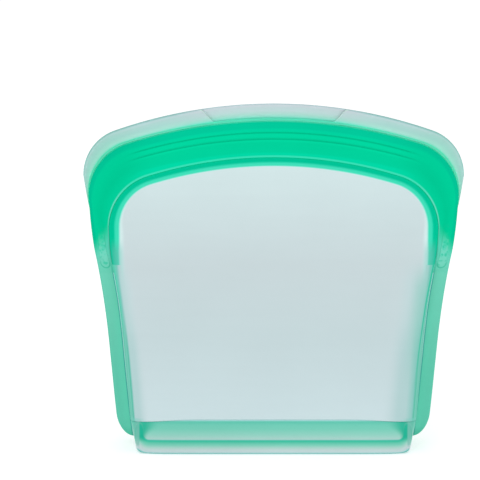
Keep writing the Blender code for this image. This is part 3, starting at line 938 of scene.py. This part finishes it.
# A thin section with a round outer edge, carried along the arch.
def makeLip(name, rear, material):
    root, outer = lipStations(not rear)
    turn = np.linspace(-math.pi / 2, math.pi / 2, lipLook["edgeCount"])
    half = lipLook["thickness"] / 2
    width = lengths(outer - root)
    straight = np.linspace(0, 1, lipLook["straightCount"])[None, :] * (width - half)
    edge = width - half + half * np.cos(turn)[None, :]
    offsets = np.concatenate([straight[:, :-1], edge, straight[:, ::-1][:, 1:]], axis=1)
    count = straight.shape[1] - 1
    side = np.concatenate([np.full(count, half), -half * np.sin(turn), np.full(count, -half)])
    across = (outer - root) / width
    flat = root[:, None, :] + across[:, None, :] * offsets[..., None]
    depth = np.broadcast_to(outline["innerFace"] * mm + half + side, flat.shape[:2])
    points = np.stack([flat[..., 0], -depth, flat[..., 1]], -1)
    start, end = lipLook["notch"]
    aside = np.abs(outer[:, 0:1])
    atNotch = smoothStep(start - 1 * mm, start, aside) * fallStep(end, end + 1 * mm, aside) * (not rear)
    marks = {
        "fromRoot": (offsets - lipLook["rootTuck"]) / mm,
        "fromEdge": (width - offsets) / mm,
        "notchEnd": np.broadcast_to(atNotch, offsets.shape),
    }
    if rear:
        points = halfTurn(points)
    return sweptPiece(name, points, marks, material)


def makeLipMaterial():
    made, tree, shader = newMaterial("tintedLip", lipLook)
    _, x, _, _ = objectPlace(tree)
    fromRoot = mark(tree, "fromRoot")
    fromEdge = mark(tree, "fromEdge")
    aside = unsigned(tree, x)
    middle = colourRamp(tree, fromRoot, lipLook["middle"])
    side = colourRamp(tree, fromRoot, lipLook["side"])
    colour = mix(tree, rise(tree, aside, 30.0, 60.0), middle, side)
    edge = times(tree, fall(tree, fromEdge, 0.2, 0.9), rise(tree, aside, 38.0, 50.0), 0.8)
    colour = paint(tree, colour, lipLook["edgeTone"], edge)
    # the shoulders are a deeper green; the ends of the notch are painted pale to offset the shade in
    # the gap behind them
    onShoulder = rise(tree, aside, 62.0, 88.0)
    colour = mix(tree, onShoulder, colour, srgb(*lipLook["shoulderTone"]), "MULTIPLY")
    notchEnd = times(tree, mark(tree, "notchEnd"), fall(tree, fromEdge, 0.35, 0.8))
    colour = paint(tree, colour, lipLook["notchEndLight"], notchEnd)
    finishSkin(tree, shader, colour, lipLook)
    return made


lipMaterial = makeLipMaterial()
for end in ("front", "rear"):
    rear = end == "rear"
    lip = makeLip(end + "Lip", rear, lipMaterial)
    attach(lip, end + "_mouth")
    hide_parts(end + "_lip")
print("lips done")

# The standing base.
trayLook = {
    "thickness": 1.2 * mm,
    "edgeRadius": 2.5 * mm,
    "footTaper": 1.1 * mm,  # the ends draw in this much towards the floor
    "uprightCount": 24,
    "turnCount": 16,
    "ringCount": 360,
    "floorCount": 14,
    "cavity": {"halfWidth": 65.0, "bottom": 7.95, "radius": 2.6},  # outline of the pocket's floor
    "roughness": 0.4,
    "specular": 0.25,
    "tone": 0.1,
    "sheen": 0.1,
    "bump": 0.15,
    # colours by height inside the pocket's outline, and by distance outside it
    "inside": [(7.6, 172, 207, 201), (10.0, 144, 207, 192), (13.0, 117, 203, 182),
               (15.0, 110, 201, 180), (16.3, 96, 196, 174), (16.8, 100, 198, 178),
               (17.3, 170, 224, 222)],
    "outside": [(0.0, 168, 206, 201), (0.3, 150, 202, 194), (0.6, 74, 190, 167), (1.2, 54, 189, 158),
                (1.9, 93, 196, 169), (2.9, 118, 203, 181), (3.9, 152, 208, 194), (4.9, 181, 211, 205),
                (5.7, 192, 211, 212), (6.7, 188, 210, 212), (7.2, 140, 202, 198),
                (7.95, 88, 176, 168)],
    "corner": (12, 176, 144),
    "end": (122, 188, 176),
}


# Rings round the pocket, each the pocket's own section at its height: upright above the edge
# radius, then a quarter round under to the floor, and on inwards over the floor.
def makeTray(material):
    radius = trayLook["edgeRadius"]
    upright = np.linspace(trayTop, radius, trayLook["uprightCount"])
    turn = np.linspace(0, math.pi / 2, trayLook["turnCount"])[1:]
    ringZ = np.concatenate([upright, radius - radius * np.sin(turn)])[:, None]
    under = np.concatenate([np.zeros(len(upright)), radius * (1 - np.cos(turn))])[:, None]
    ringCount = trayLook["ringCount"]
    angle = np.linspace(0, 2 * math.pi, ringCount, endpoint=False) + math.pi / ringCount
    power = 2 / outline["squareness"][0]
    shape = np.sign(np.cos(angle)) * np.abs(np.cos(angle)) ** power
    halfWidth = smoothLine(ringZ, outline["rimSide"])
    outerX = shape[None, :] * halfWidth
    depth = wallDepth(outerX, np.broadcast_to(ringZ, outerX.shape))
    inset = under + trayLook["footTaper"] * (1 - ringZ / trayTop)
    ringX = outerX * (1 - inset / halfWidth)
    ringY = -depth * np.sign(np.sin(angle))[None, :] * (1 - under / (outline["baseDepth"] * mm))
    ringHigh = ringZ - endDip(outerX) * smoothStep(6 * mm, trayTop, ringZ)
    shrink = np.linspace(1, 0.04, trayLook["floorCount"])[1:, None]
    floorX, floorY = ringX[-1:] * shrink, ringY[-1:] * shrink
    x, y = np.concatenate([ringX, floorX]), np.concatenate([ringY, floorY])
    z = np.concatenate([ringHigh, np.zeros_like(floorX)])
    return sweptPiece("baseTray", np.stack([x, y, z], -1), {}, material, openStart=True)


def makeTrayMaterial():
    look = trayLook
    made, tree, shader = newMaterial("greenBase", look)
    _, x, y, high = objectPlace(tree)
    aside = unsigned(tree, x)
    # the turned ends repeat the front's levels, without its corners
    onFace = rise(tree, unsigned(tree, y), 12.0, 15.5)
    onEnd = minus(tree, 1.0, onFace)
    below = minus(tree, look["cavity"]["bottom"], high)
    distance = boxDistance(tree, x, high, **look["cavity"])
    distance = plus(tree, times(tree, distance, onFace), times(tree, below, onEnd))
    inside = colourRamp(tree, high, look["inside"])
    outside = colourRamp(tree, distance, look["outside"])
    colour = mix(tree, rise(tree, distance, -0.2, 0.15), inside, outside)
    # deeper green in the pocket's two lower corners, paler again at the very ends
    start = plus(tree, 55.0, times(tree, fall(tree, high, 9.0, 15.0), 7.5))
    corner = calc(tree, "POWER", rise(tree, aside, start, 65.6), 1.6)
    corner = times(tree, corner, rise(tree, high, 5.5, 9.0), onFace, 0.95)
    colour = paint(tree, colour, look["corner"], corner)
    last = times(tree, rise(tree, aside, 66.8, 67.8), rise(tree, high, 3.0, 5.0), onFace, 0.85)
    colour = paint(tree, colour, look["end"], last)
    finishSkin(tree, shader, colour, look)
    return made


tray = makeTray(makeTrayMaterial())
addThickness(tray, trayLook["thickness"])
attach(tray, "pouch")
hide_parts("base_tray")
print("base done")

# The zip tracks keep their own shape and get a finish.
trackLook = {
    "roughness": 0.35,
    "specular": 0.2,
    "glossTint": (0.05, 0.9, 0.65),
    "tone": 0.1,
    "sheen": 0.1,
    "bump": 0.2,
    "deep": (0, 190, 140),
    "bright": (6, 204, 156),
}


def makeTrackMaterial():
    made, tree, shader = newMaterial("zipTrack", trackLook)
    place, _, _, _ = objectPlace(tree)
    tone = noise(tree, {"Vector": place, "Scale": 90.0, "Detail": 3.0})
    colour = mix(tree, tone, srgb(*trackLook["deep"]), srgb(*trackLook["bright"]))
    finishSkin(tree, shader, colour, trackLook)
    return made


trackMaterial = makeTrackMaterial()
for node in ("front_zip_track", "rear_zip_track"):
    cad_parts[node].data.materials.clear()
    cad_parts[node].data.materials.append(trackMaterial)
print("zip tracks done")

# Floor, light and camera.
studio = {
    "floorSize": 12.0,
    "floorGlow": 0.42,
    "worldStrength": 0.79,
    "lamps": {
        "key": {"energy": 4.6, "place": (-0.5, -1.3, 1.5)},
        "fill": {"energy": 1.5, "place": (1.2, -1.0, 0.6)},
    },
    "lampSize": 1.4,
    "lampTarget": (0, 0, 0.09),
    "cameraTilt": 12.0,
    "cameraDistance": 1.6,
    "frameWidth": 0.240,
    "aim": (-0.01675, 0.0, 0.10645),
}


def aimAt(holder, target):
    holder.rotation_euler = (Vector(target) - holder.location).to_track_quat("-Z", "Y").to_euler()


def makeStudio():
    mesh = bpy.data.meshes.new("studioFloor")
    s = studio["floorSize"]
    mesh.from_pydata([(-s, -s, 0), (s, -s, 0), (s, s, 0), (-s, s, 0)], [], [(0, 1, 2, 3)])
    floor = newObject("studioFloor", mesh)
    paper = bpy.data.materials.new("studioPaper")
    paper.use_nodes = True
    shader = paper.node_tree.nodes["Principled BSDF"]
    setInputs(shader, {"Base Color": (0.8, 0.8, 0.8, 1), "Roughness": 1.0, "Specular IOR Level": 0.0})
    setInputs(shader, {"Emission Color": (1, 1, 1, 1), "Emission Strength": studio["floorGlow"]})
    mesh.materials.append(paper)
    world = bpy.data.worlds.new("studioWorld")
    bpy.context.scene.world = world
    world.use_nodes = True
    sky = {"Color": (1, 1, 1, 1), "Strength": studio["worldStrength"]}
    setInputs(world.node_tree.nodes["Background"], sky)
    for name, look in studio["lamps"].items():
        lamp = bpy.data.lights.new(name, "AREA")
        lamp.energy = look["energy"]
        lamp.shape = "DISK"
        lamp.size = studio["lampSize"]
        holder = newObject(name, lamp)
        holder.location = look["place"]
        aimAt(holder, studio["lampTarget"])
    camera = bpy.data.cameras.new("camera")
    eye = newObject("camera", camera)
    tilt = math.radians(studio["cameraTilt"])
    back = Vector((0, -math.cos(tilt), math.sin(tilt)))
    eye.location = Vector(studio["aim"]) + back * studio["cameraDistance"]
    aimAt(eye, studio["aim"])
    camera.sensor_width = 36
    camera.lens = camera.sensor_width * studio["cameraDistance"] / studio["frameWidth"]
    camera.clip_end = 60
    bpy.context.scene.camera = eye


makeStudio()
bpy.context.scene.view_settings.view_transform = "Standard"
